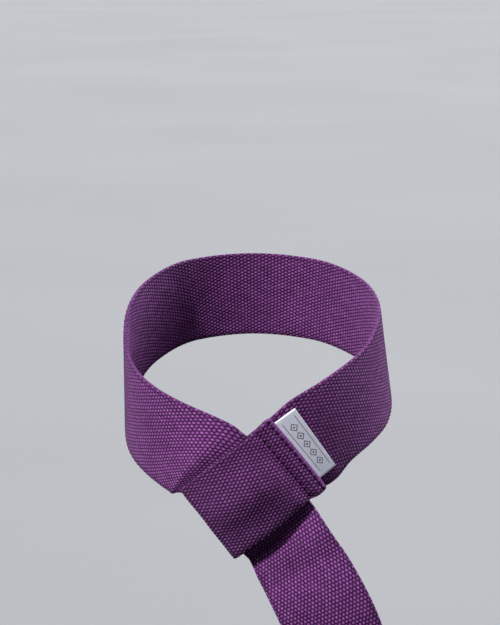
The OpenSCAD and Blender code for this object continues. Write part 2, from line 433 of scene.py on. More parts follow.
bottoms = {0: -289.6, 2: -290.2, 4: -288.9}
shift = [0.0, 0.35, -0.30, 0.45, -0.20, 0.30, 0.0]


def tail_part():
    st = np.array(TAIL, float)
    mid_st = (st[:, 0:3] + st[:, 3:6]) / 2
    t = np.concatenate([[0], np.cumsum(np.linalg.norm(np.diff(mid_st, axis=0), axis=1))])
    q = np.linspace(0, t[-1], 420)
    d = pchip(t, st, q)
    k = (COLS[None, :, None] + HW) / (2 * HW)
    a, b = d[:, None, 0:3], d[:, None, 3:6]
    P = a * (1 - k) + b * k
    # the outward way: across the tail's own face, towards the front
    dl = np.gradient((d[:, 0:3] + d[:, 3:6]) / 2, q, axis=0)
    n = unit(np.cross(dl, d[:, 3:6] - d[:, 0:3]))
    n = n * np.sign(-n[:, 1:2])
    P = P + n[:, None] * (d[:, 6][:, None] * (1 - (COLS[None] / HW) ** 2))[..., None]
    # soft undulation as it hangs
    gone = q - 14.0
    wave = pchip([-20, 1, 4, 9, 14, 20, 26, 32, 38, 46, 56, 70, 90, 126, 150], [0, 0.2, 0.3, -1.1, -1.7, -1.6, -3.0, -4.5, -5.4, -5.6, -5.0, -4.0, -2.2, 0, 0], gone)
    P[..., 1] += wave[:, None]
    # past the mouth it rises to the lip at its right edge and dips at its left
    g, w = gone[:, None], COLS[None]
    P[..., 1] -= 1.7 * smooth((g - 1.0) / 6.0) * smooth((4.0 - w) / 21.0) * (1 - smooth((g - 16.0) / 40.0))
    P[..., 1] += 0.8 * smooth((g - 1.0) / 4.0) * smooth((w + 2.0) / 17.0) * (1 - smooth((g - 10.0) / 14.0))
    return P


def straight(x, y0, z0, y1, z1, n):
    k = np.linspace(0, 1, n)[:, None]
    c = np.concatenate([np.full((n, 1), x), y0 + (y1 - y0) * k, z0 + (z1 - z0) * k], 1)
    return c


def hank_part():
    """Centre line of the folded runs and of the far loop: [x, y, z]."""
    line = []
    z_now, y_now = -150.0, TAIL_Y - 0.1
    for k in range(7):
        y = TAIL_Y - STEP * k
        x = HX + shift[k]
        down = k % 2 == 0
        if k < 6:
            z_end = bottoms[k] if down else tops[k]
            pts = straight(x, y, z_now, y, z_end, 30)
            pts[:, 1] += 0.10 * np.sin(np.linspace(0, 5 + k, 30)) * np.sin(np.linspace(0, math.pi, 30))
            line.append(pts if k == 0 else pts[1:])
            a = np.linspace(0, math.pi, 14)[1:]
            way = -1 if down else 1
            ease = np.linspace(0, 1, 13)
            xs = x + (HX + shift[k + 1] - x) * ease
            line.append(np.stack([xs, y - STEP / 2 + STEP / 2 * np.cos(a), z_end + way * STEP / 2 * 1.25 * np.sin(a)], 1))
            z_now = z_end
        else:
            line.append(straight(x, y, z_now, y, -304.0, 60)[1:])
    # the eye of the far loop: down the back, round the fold, up the front
    y_back, y_front = TAIL_Y - STEP * 6, TAIL_Y - STEP * 6 - 3.7
    top, low = -304.0, -339.2
    k = np.linspace(0, 1, 30)[1:, None]
    open_ = 4.0 * np.sin(math.pi / 2 * k) ** 1.3
    line.append(np.concatenate([np.full_like(k, HX), y_back + open_, top + (low - top) * k], 1))
    yc, ry = (y_back + y_front) / 2, (y_back - y_front) / 2 + 4.0
    a = np.linspace(0, math.pi, 24)[1:]
    line.append(np.stack([np.full(23, HX), yc + ry * np.cos(a), low - 4.9 * np.sin(a)], 1))
    k = k[::-1]
    open_ = 4.0 * np.sin(math.pi / 2 * k) ** 1.3
    line.append(np.concatenate([np.full_like(k, HX), y_front - open_, top + (low - top) * k], 1)[1:])
    line.append(straight(HX, y_front, top, y_front, -296.6, 12))
    a = np.linspace(0, math.pi, 12)[1:]
    line.append(np.stack([np.full(11, HX), y_front + 0.92 - 0.92 * np.cos(a), -296.6 + 0.92 * np.sin(a)], 1))
    line.append(straight(HX, y_front + 1.85, -296.6, y_front + 1.85, -303.4, 10)[1:])
    c = np.concatenate(line)
    P = np.repeat(c[:, None], len(COLS), axis=1)
    P[..., 0] -= COLS[None]
    return P


tail_d, hank_d = tail_part(), hank_part()
tail_dense = np.concatenate([tail_d, hank_d[1:]])
mid = tail_dense[:, len(COLS) // 2]
seg2 = np.concatenate([[0], np.cumsum(np.linalg.norm(np.diff(mid, axis=0), axis=1))])
L_TAIL = seg2[len(tail_d) - 1]
# where the front run starts, and the seam of the far loop
front_i = len(tail_d) + sum([30] + [29] * 5) + 13 * 6 - 2
L_FRONT = seg2[min(front_i, len(seg2) - 1)]
L_FULL = seg2[-1]
L_SEAM = L_FULL - (303.4 - 296.6) - math.pi * 0.92


def far_u(ell):
    """How far below the far hem's edge a point of the front layer lies."""
    return L_SEAM - ell


def far_dent(ell, w):
    u = far_u(ell)
    out = np.zeros(np.broadcast(ell, w).shape)
    for k, u0 in enumerate((1.0, 6.4)):
        line = np.exp(-(((u - u0) / 0.60) ** 2))
        hole = np.exp(-(((((w + 0.9 * k + STITCH / 2) % STITCH) - STITCH / 2) / 0.55) ** 2))
        out = out + line * (0.20 + 0.42 * hole)
    return out * (np.abs(w) < 18.2) * (ell > L_SEAM - 14) * (ell < L_SEAM)


def tail_rows(length):
    """Fine where the webbing shows, coarse inside the hank, fine at its folds."""
    out = list(steps((L_TAIL, 0.79))(L_TAIL))
    here = L_TAIL
    tight = []
    i = len(tail_d) - 1
    for k in range(6):
        i += 29
        tight.append((seg2[i], seg2[i + 13]))
        i += 13
    for a, b in tight:
        out += list(np.linspace(here, a, max(2, int((a - here) / 3.2)))[1:])
        out += list(np.linspace(a, b, 11)[1:])
        here = b
    out += list(np.linspace(here, L_SEAM - 10, int((L_SEAM - 10 - here) / 0.79))[1:])
    here = L_SEAM - 10
    out += list(np.linspace(here, L_SEAM, int(10 / 0.395))[1:])
    out += list(np.linspace(L_SEAM, L_SEAM + math.pi * 0.92, 10)[1:])
    here = L_SEAM + math.pi * 0.92
    out += list(np.linspace(here, length, 8)[1:])
    return np.array(out)


def shown(r):
    """Weave relief on the tail and on the front run and loop."""
    return ((r < L_TAIL) | (r > L_FRONT - 2)) * 1.0


hang, rows2, hang_len = webbing(
    "strap_tail", tail_dense, tail_rows, shown, shown, start=noose_len, dent=far_dent
)


# ---------------------------------------------------------------- thread
def capsules(name, runs, radius, sides=8):
    """One mesh of short rounded lengths of thread. runs is a list of (n, 3)
    centre lines in millimetres."""
    vs, fs, uvs, base = [], [], [], 0
    for line in runs:
        line = np.asarray(line, float)
        t = unit(np.gradient(line, axis=0))
        ref = np.array([0.0, 0.0, 1.0]) if abs(t[0, 2]) < 0.8 else np.array([0.0, 1.0, 0.0])
        a = unit(np.cross(t, ref))
        b = np.cross(t, a)
        n = len(line)
        k = np.linspace(0, 1, n)
        rad = radius * np.sqrt(np.clip(1 - (2 * k - 1) ** 6, 0.10, 1))
        th = np.linspace(0, 2 * math.pi, sides, endpoint=False)
        twist = 1 + 0.10 * np.cos(2 * th[None] + 9 * k[:, None] * math.pi)
        ring = (
            line[:, None]
            + (np.cos(th)[None, :, None] * a[:, None] + np.sin(th)[None, :, None] * b[:, None])
            * (rad[:, None] * twist)[..., None]
        )
        vs.append(ring.reshape(-1, 3))
        i = np.arange(n * sides).reshape(n, sides) + base
        j = np.roll(i, -1, axis=1)
        fs.append(np.stack([i[:-1], j[:-1], j[1:], i[1:]], -1).reshape(-1, 4))
        # end caps as fans of quads through the ring's own points
        for ring_i, flip in ((i[0], True), (i[-1], False)):
            h = sides // 2
            for q in range(1, h):
                quad = [ring_i[q - 1] if q > 1 else ring_i[0], ring_i[q], ring_i[-q - 1 + 0], ring_i[-q]]
                quad = [ring_i[q - 1], ring_i[q], ring_i[sides - 1 - q], ring_i[(sides - q) % sides]]
                fs.append(np.array([quad[::-1] if not flip else quad]))
        uvs.append(np.stack(np.broadcast_arrays(k[:, None] * 2.4, th[None] / 6.28), -1).reshape(-1, 2) * MM)
        base += n * sides
    return mesh_object(name, np.concatenate(vs) * MM, np.concatenate(fs), np.concatenate(uvs))


def loop_stitches(name, k, u0):
    runs = []
    w0 = -0.9 * k
    for i in range(-6, 7):
        c = w0 + STITCH * (i + 0.5)
        if abs(c) > 16.8:
            continue
        v = np.linspace(c - 1.15, c + 1.15, 9)
        arch = np.sin(np.linspace(0, math.pi, 9)) ** 0.7
        u = u0 + 0.05 * math.sin(i * 2.1) + 0 * v
        r = top_r(u, v) + T / 2 - 0.46 + 0.34 * arch
        runs.append(on_loop(u, v, r))
    return capsules(name, runs, 0.24)


outer_thread = loop_stitches("loop_thread_outer", 0, ROW_U[0])
inner_thread = loop_stitches("loop_thread_inner", 1, ROW_U[1])


def far_stitches(name, k, z):
    runs = []
    w0 = -0.9 * k
    face = TAIL_Y - STEP * 6 - 3.7 - T / 2
    for i in range(-6, 7):
        c = w0 + STITCH * (i + 0.5)
        if abs(c) > 16.8:
            continue
        x = np.linspace(c - 1.15, c + 1.15, 9)
        arch = np.sin(np.linspace(0, math.pi, 9)) ** 0.7
        runs.append(np.stack([HX - x, face + 0.42 - 0.42 * arch, np.full(9, z + 0.05 * math.sin(i * 1.7))], 1))
    return capsules(name, runs, 0.26)


far_outer = far_stitches("far_thread_outer", 0, -297.6)
far_inner = far_stitches("far_thread_inner", 1, -303.0)

# ---------------------------------------------------------------- label
LABEL_V0, LABEL_V1 = -16.4, 15.0
label_cols = 33
label_rows_n = 41


def label_mesh():
    """A folded satin label: a strip doubled over at the free edge and caught in
    the hem, both layers 0.2 mm thick."""
    v = np.linspace(LABEL_V0, LABEL_V1, label_rows_n)
    span = [LABEL_V0, LABEL_V1]
    ends = [np.interp(v, span, q)[:, None] for q in ([9.0, 29.2], [-11.1, -36.1], [17.5, 35.6], [-5.3, -31.6])]
    along = (v[:, None] - LABEL_V0) / (LABEL_V1 - LABEL_V0)
    # k runs from under the hem out to the fold; s is the way round it
    out = np.linspace(-0.16, 0.975, 30)
    turn = np.radians(np.linspace(90, -90, 11))[1:-1]
    k = np.concatenate([out, 0.975 + 0.024 * np.cos(turn), out[::-1]])[None]
    side = np.concatenate([np.ones(30), np.sin(turn), -np.ones(30)])[None]
    phi = np.radians(ends[0] * (1 - k) + ends[2] * k)
    z = ends[1] * (1 - k) + ends[3] * k
    kk = np.clip(k, 0, 1)
    base = R + T + 0.32 + 1.35 * smooth((phi - math.radians(15)) / math.radians(22))
    lift = 0.34 + 0.75 * kk ** 2 * (0.55 + 0.45 * along) + 0.12 * np.sin(5.2 * along + 1.0) * kk
    puff = 0.12 + 0.16 * np.sin(math.pi * np.clip((kk - 0.1) / 0.9, 0, 1)) ** 0.8
    mid_ = wrapped(phi, z, base + lift + side * puff)
    n = unit(np.cross(np.gradient(mid_, axis=1), np.gradient(mid_, axis=0)))
    A, B = mid_ + n * 0.10, mid_ - n * 0.10
    m, c = k.shape[1], label_rows_n
    m, c = c, m
    verts = np.concatenate([A.reshape(-1, 3), B.reshape(-1, 3)]) * MM
    ia = np.arange(m * c).reshape(m, c)
    ib = ia + m * c
    faces = np.concatenate(
        [
            np.stack([ia[:-1, :-1], ia[:-1, 1:], ia[1:, 1:], ia[1:, :-1]], -1).reshape(-1, 4),
            np.stack([ib[:-1, :-1], ib[1:, :-1], ib[1:, 1:], ib[:-1, 1:]], -1).reshape(-1, 4),
            np.stack([ia[:-1, -1], ib[:-1, -1], ib[1:, -1], ia[1:, -1]], -1),
            np.stack([ia[:-1, 0], ia[1:, 0], ib[1:, 0], ib[:-1, 0]], -1),
            np.stack([ia[0, :-1], ib[0, :-1], ib[0, 1:], ia[0, 1:]], -1),
            np.stack([ia[-1, :-1], ia[-1, 1:], ib[-1, 1:], ib[-1, :-1]], -1),
        ]
    )
    gone = np.concatenate([out, 0.999 + 0.02 * np.arange(1, 10), 1.2 + out[-1] - out[::-1]]) * 10.4
    uv = np.stack(np.broadcast_arrays(along * 31.4, gone[None]), -1).reshape(-1, 2) * MM
    return mesh_object("woven_label", verts, faces, np.concatenate([uv, uv]))


label = label_mesh()


# ---------------------------------------------------------------- tie
def tie_mesh():
    """A ribbed elastic band round the middle of the hank."""
    zc, hh = -217.0, 4.5
    y1, y0 = TAIL_Y + T / 2 + 0.75, TAIL_Y - STEP * 6 - T / 2 - 0.75
    cx, cy = HX, (y0 + y1) / 2
    ax, ay, rr = 19.0 + 0.85, (y1 - y0) / 2, 2.6
    ring = []
    for qx, qy, a0 in ((1, 1, 0), (-1, 1, 90), (-1, -1, 180), (1, -1, 270)):
        for a in np.radians(np.linspace(a0, a0 + 90, 12)):
            ring.append([cx + qx * (ax - rr) + rr * math.cos(a), cy + qy * (ay - rr) + rr * math.sin(a), math.cos(a), math.sin(a)])
    ring = np.array(ring)
    # resample evenly so that the ribs run true
    nxt = np.roll(ring, -1, axis=0)
    step = np.linalg.norm((nxt - ring)[:, :2], axis=1)
    t = np.concatenate([[0], np.cumsum(step)])
    closed = np.concatenate([ring, ring[:1]])
    n = 240
    q = np.linspace(0, t[-1], n, endpoint=False)
    loop = np.stack([np.interp(q, t, closed[:, k]) for k in range(4)], 1)
    loop[:, 2:] = unit(loop[:, 2:])
    ribs = 13
    prof = []
    m = ribs * 4 + 1
    for s in np.linspace(-1, 1, m):
        edge = math.sqrt(max(0.0, 1 - abs(s) ** 10))
        prof.append([0.42 * edge + 0.07 * edge * math.cos(s * math.pi * ribs), s * hh])
    for s in np.linspace(1, -1, 9)[1:-1]:
        prof.append([-0.36, s * hh * 0.97])
    prof = np.array(prof)
    p = len(prof)
    P = np.empty((n, p, 3))
    wob = 0.12 * np.sin(np.arange(n) / n * 2 * math.pi * 3)[:, None]
    P[..., 0] = loop[:, 0:1] + loop[:, 2:3] * prof[None, :, 0]
    P[..., 1] = loop[:, 1:2] + loop[:, 3:4] * prof[None, :, 0]
    P[..., 2] = zc + prof[None, :, 1] + wob
    i = np.arange(n * p).reshape(n, p)
    j = np.roll(i, -1, axis=0)
    faces = np.stack([i, j, np.roll(j, -1, axis=1), np.roll(i, -1, axis=1)], -1).reshape(-1, 4)
    uv = np.stack(np.broadcast_arrays(q[:, None], prof[None, :, 1]), -1).reshape(-1, 2) * MM
    return mesh_object("hank_tie", P.reshape(-1, 3) * MM, faces, uv)


tie = tie_mesh()


# ---------------------------------------------------------------- materials
class Nodes:
    def __init__(self, name):
        self.mat = bpy.data.materials.new(name)
        self.mat.use_nodes = True
        self.nt = self.mat.node_tree
        self.bsdf = self.nt.nodes["Principled BSDF"]

    def link(self, a, b):
        self.nt.links.new(a, b)

    def new(self, kind, **props):
        n = self.nt.nodes.new(kind)
        for k, v in props.items():
            setattr(n, k, v)
        return n

    def put(self, socket, value):
        if hasattr(value, "is_output") or hasattr(value, "links"):
            self.link(value, socket)
        else:
            socket.default_value = value

    def math(self, op, a, b=0.0, c=None, clamp=False):
        n = self.new("ShaderNodeMath", operation=op, use_clamp=clamp)
        self.put(n.inputs[0], a)
        self.put(n.inputs[1], b)
        if c is not None:
            self.put(n.inputs[2], c)
        return n.outputs[0]

    def mix(self, fac, a, b):
        n = self.new("ShaderNodeMix", data_type="RGBA")
        self.put(n.inputs[0], fac)
        self.put(n.inputs[6], a)
        self.put(n.inputs[7], b)
        return n.outputs[2]

    def noise(self, vector, scale, detail=2.0, rough=0.5):
        n = self.new("ShaderNodeTexNoise")
        self.link(vector, n.inputs["Vector"])
        n.inputs["Scale"].default_value = scale
        n.inputs["Detail"].default_value = detail
        n.inputs["Roughness"].default_value = rough
        return n.outputs["Fac"]

    def range(self, x, a, b, c, d):
        n = self.new("ShaderNodeMapRange")
        n.clamp = True
        self.put(n.inputs[0], x)
        for i, v in enumerate((a, b, c, d)):
            n.inputs[i + 1].default_value = v
        return n.outputs[0]

    def combine(self, x, y, z=0.0):
        n = self.new("ShaderNodeCombineXYZ")
        for s, v in zip(n.inputs, (x, y, z)):
            self.put(s, v)
        return n.outputs[0]


def webbing_material():
    m = Nodes("cotton_webbing")
    uv = m.new("ShaderNodeUVMap")
    uv.uv_map = "cloth"
    sep = m.new("ShaderNodeSeparateXYZ")
    m.link(uv.outputs[0], sep.inputs[0])
    ell = m.math("MULTIPLY", sep.outputs[0], 1000.0)        # mm along
    w = m.math("MULTIPLY", sep.outputs[1], 1000.0)          # mm across
    geo = m.new("ShaderNodeTexCoord").outputs["Object"]
    # yarns don't run quite straight
    drift = m.noise(m.combine(m.math("MULTIPLY", ell, 0.10), m.math("MULTIPLY", w, 0.16)), 1.0, 1.0)
    drift2 = m.noise(m.combine(m.math("MULTIPLY", w, 0.13), m.math("MULTIPLY", ell, 0.12), 7.0), 1.0, 1.0)
    ell_d = m.math("ADD", ell, m.math("MULTIPLY", m.math("SUBTRACT", drift, 0.5), 0.55))
    w_d = m.math("ADD", w, m.math("MULTIPLY", m.math("SUBTRACT", drift2, 0.5), 0.25))
    x = m.math("DIVIDE", m.math("ADD", w_d, HW), PITCH)
    col = m.math("FLOOR", x)
    odd = m.math("MODULO", col, 2.0)
    y = m.math("ADD", m.math("DIVIDE", ell_d, FLOAT), m.math("MULTIPLY", odd, 0.5))
    fx = m.math("SUBTRACT", m.math("FRACT", x), 0.5)
    fy = m.math("SUBTRACT", m.math("FRACT", m.math("ADD", y, 0.5)), 0.5)
    row = m.math("FLOOR", m.math("ADD", y, 0.5))
    # each float of warp swells over its neighbours' dips: two interleaved sets
    # of ovals, half a repeat apart both ways
    pair = m.math("DIVIDE", x, 2.0)
    turn = m.math("DIVIDE", ell_d, FLOAT)
    hump = 0.0
    for ox, oy in ((0.25, 0.5), (0.75, 0.0)):
        dx = m.math("MULTIPLY", m.math("SUBTRACT", m.math("FRACT", m.math("ADD", pair, ox)), 0.5), 2 * PITCH / 0.77)
        dy = m.math("MULTIPLY", m.math("SUBTRACT", m.math("FRACT", m.math("ADD", turn, oy)), 0.5), FLOAT / 0.97)
        q = m.math("SUBTRACT", 1.0, m.math("ADD", m.math("MULTIPLY", dx, dx), m.math("MULTIPLY", dy, dy)), clamp=True)
        hump = q if hump == 0.0 else m.math("MAXIMUM", hump, q)
    hump = m.math("POWER", hump, 0.90)
    # under it, the weft and the dipping warp lie low; the colour below paints these low parts dark, as painted shade
    # between the floats
    weft = m.math("MULTIPLY", m.math("ABSOLUTE", m.math("SINE", m.math("MULTIPLY", ell_d, 2 * math.pi / FLOAT))), 0.10)
    height = m.math("MAXIMUM", hump, weft)
    # sewn rows pull the cloth down, most at the needle holes; the colour is darkened along them, painted shade in the
    # stitch grooves and holes
    stitch_groove_shade = 0.0
    for at, k in SEWN:
        line = m.math("POWER", 2.718, m.math("MULTIPLY", m.math("POWER", m.math("ABSOLUTE", m.math("DIVIDE", m.math("SUBTRACT", ell, at), 0.62)), 2.0), -1.0))
        ph = m.math("COSINE", m.math("MULTIPLY", m.math("ADD", w, 0.9 * k), 2 * math.pi / STITCH))
        line = m.math("MULTIPLY", line, m.range(ph, -0.3, 0.7, 0.10, 1.0))
        stitch_groove_shade = line if stitch_groove_shade == 0.0 else m.math("MAXIMUM", stitch_groove_shade, line)
    # at a hem's fold the warp is drawn tight, so the weave there is flat; it is also made pale, a painted highlight on
    # the fold's round edge
    tight = 0.0
    for a0, a1 in FOLDS:
        win = m.math("MULTIPLY", m.range(ell, a0 - 0.5, a0 + 0.3, 0.0, 1.0), m.range(ell, a1 - 0.5, a1 + 0.1, 1.0, 0.0))
        tight = win if tight == 0.0 else m.math("MAXIMUM", tight, win)
    height = m.math("ADD", m.math("MULTIPLY", height, m.math("SUBTRACT", 1.0, m.math("MULTIPLY", tight, 0.75))), m.math("MULTIPLY", tight, 0.55))
    # twisted strands in the yarn
    strand = m.math(
        "SINE",
        m.math("ADD", m.math("MULTIPLY", ell_d, 9.5), m.math("MULTIPLY", w_d, 17.0)),
    )
    fuzz = m.noise(m.combine(m.math("MULTIPLY", ell, 1.6), m.math("MULTIPLY", w, 6.5)), 1.0, 3.0, 0.65)
    pick = m.new("ShaderNodeTexWhiteNoise")
    pick.noise_dimensions = "2D"
    m.link(m.combine(col, row), pick.inputs["Vector"])
    blotch = m.noise(geo, 38.0, 2.0)
    slow = m.noise(geo, 9.0, 1.0)
    # colour: the weave's pattern from its height, painted dark in the low gaps as painted shade and pale on the bead
    # tops as a painted highlight
    tone = m.math("ADD", m.math("MULTIPLY", height, 0.86), m.math("MULTIPLY", m.math("SUBTRACT", fuzz, 0.5), 0.38))
    tone = m.math("ADD", tone, m.math("MULTIPLY", m.math("SUBTRACT", pick.outputs["Value"], 0.5), 0.16))
    tone = m.math("ADD", tone, m.math("MULTIPLY", strand, 0.035))
    tone = m.math("ADD", tone, m.math("MULTIPLY", m.math("SUBTRACT", blotch, 0.5), 0.14))
    aw = m.math("ABSOLUTE", w)
    groove = m.math("MULTIPLY", m.range(aw, 17.2, 17.7, 0.0, 1.0), m.range(aw, 17.9, 18.4, 1.0, 0.0))
    tone = m.math("MULTIPLY", tone, m.math("SUBTRACT", 1.0, m.math("MULTIPLY", groove, 0.35)))
    # painted shade: darker along the stitch rows, darkest at the needle holes
    tone = m.math("MULTIPLY", tone, m.math("SUBTRACT", 1.0, m.math("MULTIPLY", stitch_groove_shade, 0.90)))
    tone = m.math("MULTIPLY", tone, m.range(aw, 18.45, 18.95, 1.0, 0.72))
    ramp = m.new("ShaderNodeValToRGB")
    m.link(tone, ramp.inputs[0])
    e = ramp.color_ramp.elements
    e[0].position, e[0].color = 0.0, WEAVE_GAP_SHADE
    e[1].position, e[1].color = 1.0, WEAVE_BEAD_HIGHLIGHT
    for at, c in ((0.26, LOWTONE), (0.58, MIDTONE), (0.86, HIGHTONE)):
        ramp.color_ramp.elements.new(at).color = c
    warm = m.mix(m.range(slow, 0.35, 0.65, 0.0, 0.35), ramp.outputs[0], (0.200, 0.046, 0.190, 1))
    keep = m.math("MULTIPLY", m.range(slow, 0.35, 0.65, 0.0, 0.30), m.range(tone, 0.25, 0.8, 0.0, 1.0))
    colour = m.mix(keep, ramp.outputs[0], warm)
    # painted shade: the sewn loop's top layer is made darker, most towards its fold, to stand for the shade on it
    loop_shade_mask = m.math("MULTIPLY", m.range(ell, L_HEM1 + 8.0, L_HEM1 + 15.0, 0.0, 1.0), m.range(ell, L_FOLD1, L_FOLD1 + 6.0, 1.0, 0.0))
    most = m.range(ell, L_HEM1 + 12.0, L_FOLD1 - 4.0, 0.20, 0.34)
    loop_shade_keep = m.math("SUBTRACT", 1.0, m.math("MULTIPLY", loop_shade_mask, most))
    tint = m.combine(loop_shade_keep, loop_shade_keep, loop_shade_keep)
    # multiply the colour by the painted shade on the loop's top layer
    loop_shade_multiply = m.new("ShaderNodeMix", data_type="RGBA", blend_type="MULTIPLY")
    loop_shade_multiply.inputs[0].default_value = 1.0
    m.link(colour, loop_shade_multiply.inputs[6])
    m.link(tint, loop_shade_multiply.inputs[7])
    colour = loop_shade_multiply.outputs[2]
    # the very edge is rubbed
    edge = m.range(aw, 18.3, 18.9, 0.0, 0.14)
    colour = m.mix(m.math("MULTIPLY", edge, fuzz), colour, (0.200, 0.080, 0.215, 1))
    m.link(colour, m.bsdf.inputs["Base Color"])
    m.link(m.range(tone, 0.0, 1.0, 0.95, 0.72), m.bsdf.inputs["Roughness"])
    m.bsdf.inputs["Specular IOR Level"].default_value = 0.18
    m.bsdf.inputs["Sheen Weight"].default_value = 0.10
    m.bsdf.inputs["Sheen Roughness"].default_value = 0.45
    m.bsdf.inputs["Sheen Tint"].default_value = (0.80, 0.42, 0.90, 1)
    h = m.math("ADD", height, m.math("MULTIPLY", strand, 0.03))
    h = m.math("ADD", h, m.math("MULTIPLY", m.math("SUBTRACT", fuzz, 0.5), 0.30))
    bump = m.new("ShaderNodeBump")
    bump.inputs["Strength"].default_value = 0.85
    bump.inputs["Distance"].default_value = 0.00034
    m.link(h, bump.inputs["Height"])
    m.link(bump.outputs[0], m.bsdf.inputs["Normal"])
    return m.mat


# weave colours from low to high: the darkest is painted shade in the gaps, the palest a painted highlight on the bead
# tops
WEAVE_GAP_SHADE = (0.010, 0.0009, 0.013, 1)
LOWTONE = (0.038, 0.0056, 0.048, 1)
MIDTONE = (0.122, 0.027, 0.145, 1)
HIGHTONE = (0.225, 0.066, 0.257, 1)
WEAVE_BEAD_HIGHLIGHT = (0.380, 0.165, 0.425, 1)
per_u = (L_TOP1 - L_HEM1) / (46.4 - 1.75)
SEWN = [(L_HEM1 + (u - 1.75) * per_u, k) for k, u in enumerate(ROW_U)]
SEWN += [(noose_len + L_SEAM - u, k) for k, u in enumerate((1.0, 6.4))]
FOLDS = [(L_HEM0, L_HEM1), (noose_len + L_SEAM, noose_len + L_SEAM + math.pi * 0.92)]


def thread_material():
    m = Nodes("sewing_thread")
    uv = m.new("ShaderNodeUVMap")
    uv.uv_map = "cloth"
    sep = m.new("ShaderNodeSeparateXYZ")
    m.link(uv.outputs[0], sep.inputs[0])
    a = m.math("MULTIPLY", sep.outputs[0], 1000.0)
    b = m.math("MULTIPLY", sep.outputs[1], 1000.0)
    ply = m.math("SINE", m.math("ADD", m.math("MULTIPLY", a, 14.0), m.math("MULTIPLY", b, 12.566)))
    n = m.noise(m.new("ShaderNodeTexCoord").outputs["Object"], 2600.0, 2.0)
    k = m.math("ADD", m.math("MULTIPLY", ply, 0.25), n)
    colour = m.mix(m.range(k, 0.2, 0.9, 0.0, 1.0), (0.022, 0.003, 0.026, 1), (0.120, 0.024, 0.135, 1))
    m.link(colour, m.bsdf.inputs["Base Color"])
    m.bsdf.inputs["Roughness"].default_value = 0.8
    m.bsdf.inputs["Specular IOR Level"].default_value = 0.12
    bump = m.new("ShaderNodeBump")
    bump.inputs["Strength"].default_value = 0.6
    bump.inputs["Distance"].default_value = 0.0001
    m.link(k, bump.inputs["Height"])
    m.link(bump.outputs[0], m.bsdf.inputs["Normal"])
    return m.mat


def label_material():
    m = Nodes("woven_satin_label")
    uv = m.new("ShaderNodeUVMap")
    uv.uv_map = "cloth"
    sep = m.new("ShaderNodeSeparateXYZ")
    m.link(uv.outputs[0], sep.inputs[0])
    a = m.math("MULTIPLY", sep.outputs[0], 1000.0)   # along the label
    b = m.math("MULTIPLY", sep.outputs[1], 1000.0)   # from the hem outwards
    rib = m.math("SINE", m.math("MULTIPLY", b, 2 * math.pi / 0.26))
    cross = m.math("SINE", m.math("MULTIPLY", a, 2 * math.pi / 0.34))
    grid = m.math("ADD", m.math("MULTIPLY", rib, 0.6), m.math("MULTIPLY", cross, 0.4))
    n = m.noise(m.combine(m.math("MULTIPLY", a, 0.4), m.math("MULTIPLY", b, 3.0)), 1.0, 2.0)
    # a plain woven pattern: a row of small open lozenges between two thin lines
    cell = 4.6
    fa = m.math("ABSOLUTE", m.math("SUBTRACT", m.math("FRACT", m.math("DIVIDE", m.math("SUBTRACT", a, 4.2), cell)), 0.5))
    lo = m.math("ADD", m.math("MULTIPLY", fa, cell), m.math("ABSOLUTE", m.math("SUBTRACT", b, 5.2)))
    outline = m.math("LESS_THAN", m.math("ABSOLUTE", m.math("SUBTRACT", lo, 1.75)), 0.30)
    dot = m.math("LESS_THAN", lo, 0.62)
    inside = m.math("MULTIPLY", m.math("GREATER_THAN", a, 4.3), m.math("LESS_THAN", a, 27.1))
    lines = m.math("LESS_THAN", m.math("ABSOLUTE", m.math("SUBTRACT", m.math("ABSOLUTE", m.math("SUBTRACT", b, 5.2)), 3.3)), 0.15)
    lines = m.math("MULTIPLY", lines, m.math("MULTIPLY", m.math("GREATER_THAN", a, 2.4), m.math("LESS_THAN", a, 29.0)))
    ink = m.math("MULTIPLY", m.math("MAXIMUM", outline, dot), inside)
    ink = m.math("MAXIMUM", ink, lines)
    base = m.mix(m.range(n, 0.3, 0.7, 0.0, 1.0), (0.590, 0.610, 0.740, 1), (0.690, 0.705, 0.810, 1))
    base = m.mix(m.range(grid, -1.0, 1.0, 0.0, 0.25), base, (0.76, 0.77, 0.85, 1))
    colour = m.mix(m.math("MULTIPLY", ink, 0.94), base, (0.030, 0.026, 0.045, 1))
    m.link(colour, m.bsdf.inputs["Base Color"])
    m.link(m.range(n, 0.2, 0.8, 0.34, 0.48), m.bsdf.inputs["Roughness"])
    m.bsdf.inputs["Sheen Weight"].default_value = 0.15
    m.bsdf.inputs["Specular IOR Level"].default_value = 0.5
    bump = m.new("ShaderNodeBump")
    bump.inputs["Strength"].default_value = 0.5
    bump.inputs["Distance"].default_value = 0.00006
    m.link(m.math("ADD", grid, m.math("MULTIPLY", ink, 0.8)), bump.inputs["Height"])
    m.link(bump.outputs[0], m.bsdf.inputs["Normal"])
    return m.mat


